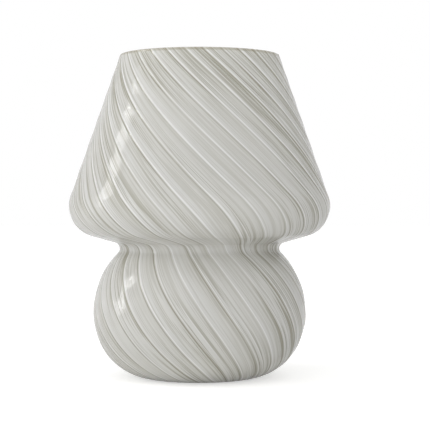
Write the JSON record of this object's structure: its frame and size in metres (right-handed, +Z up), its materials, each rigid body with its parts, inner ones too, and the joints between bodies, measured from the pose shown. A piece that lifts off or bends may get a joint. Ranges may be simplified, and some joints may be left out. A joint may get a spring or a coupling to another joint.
{
  "type": "mushroom table lamp",
  "caption": "Blown glass mushroom table lamp with twisted milky stripes, open at the top, with a screw-in bulb in a holder on the floor of its base.",
  "frame": {"origin": "middle of the ground ring that the lamp stands on, at table height", "axes": "+Z up along the lamp's axis, -Y towards the viewer of the picture, +Y to the cord inlet"},
  "size_m": [0.194, 0.194, 0.24],
  "materials": {
    "swirled_glass": "fire-polished blown glass, milky swirl",
    "clear_rubber": "translucent moulded silicone",
    "zinc_steel": "bright zinc plate",
    "turned_brass": "turned",
    "holder_plastic": "moulded white thermoplastic",
    "steatite": "unglazed steatite",
    "spring_brass": "stamped strip",
    "bulb_glass": "clear",
    "nickel_cap": "nickel-plated brass",
    "cap_insulator": "black glass",
    "solder": "soldered contact",
    "led_phosphor": "silicone with phosphor",
    "bulb_wire": "drawn wire",
    "circuit_board": "glass-epoxy laminate"
  },
  "bodies": {
    "lamp": {"glass_body": "swirled_glass", "cord_grommet": "clear_rubber", "floor_gasket": "clear_rubber", "under_gasket": "clear_rubber", "clamp_washer": "zinc_steel", "lock_nut": "zinc_steel", "lower_tube": "zinc_steel", "seat_dish": "zinc_steel", "side_entry_spacer": "turned_brass", "upper_tube": "zinc_steel", "holder_cap": "holder_plastic", "cap_grub_screw": "zinc_steel", "terminal_core": "steatite", "terminal_screws": "zinc_steel", "centre_contact": "spring_brass", "side_contact": "spring_brass", "screw_shell": "spring_brass", "holder_skirt": "holder_plastic"},
    "bulb": {"bulb_contact": "solder", "bulb_insulator": "cap_insulator", "bulb_cap": "nickel_cap", "bulb_envelope": "bulb_glass", "bulb_stem": "bulb_glass", "led_filaments": "led_phosphor", "filament_wires": "bulb_wire", "driver_board": "circuit_board"}
  },
  "joints": [
    {"name": "bulb_lift", "type": "slide", "parent": "lamp", "child": "bulb", "axis": [0, 0, 1], "range_m": [0, 0.18]}
  ]
}
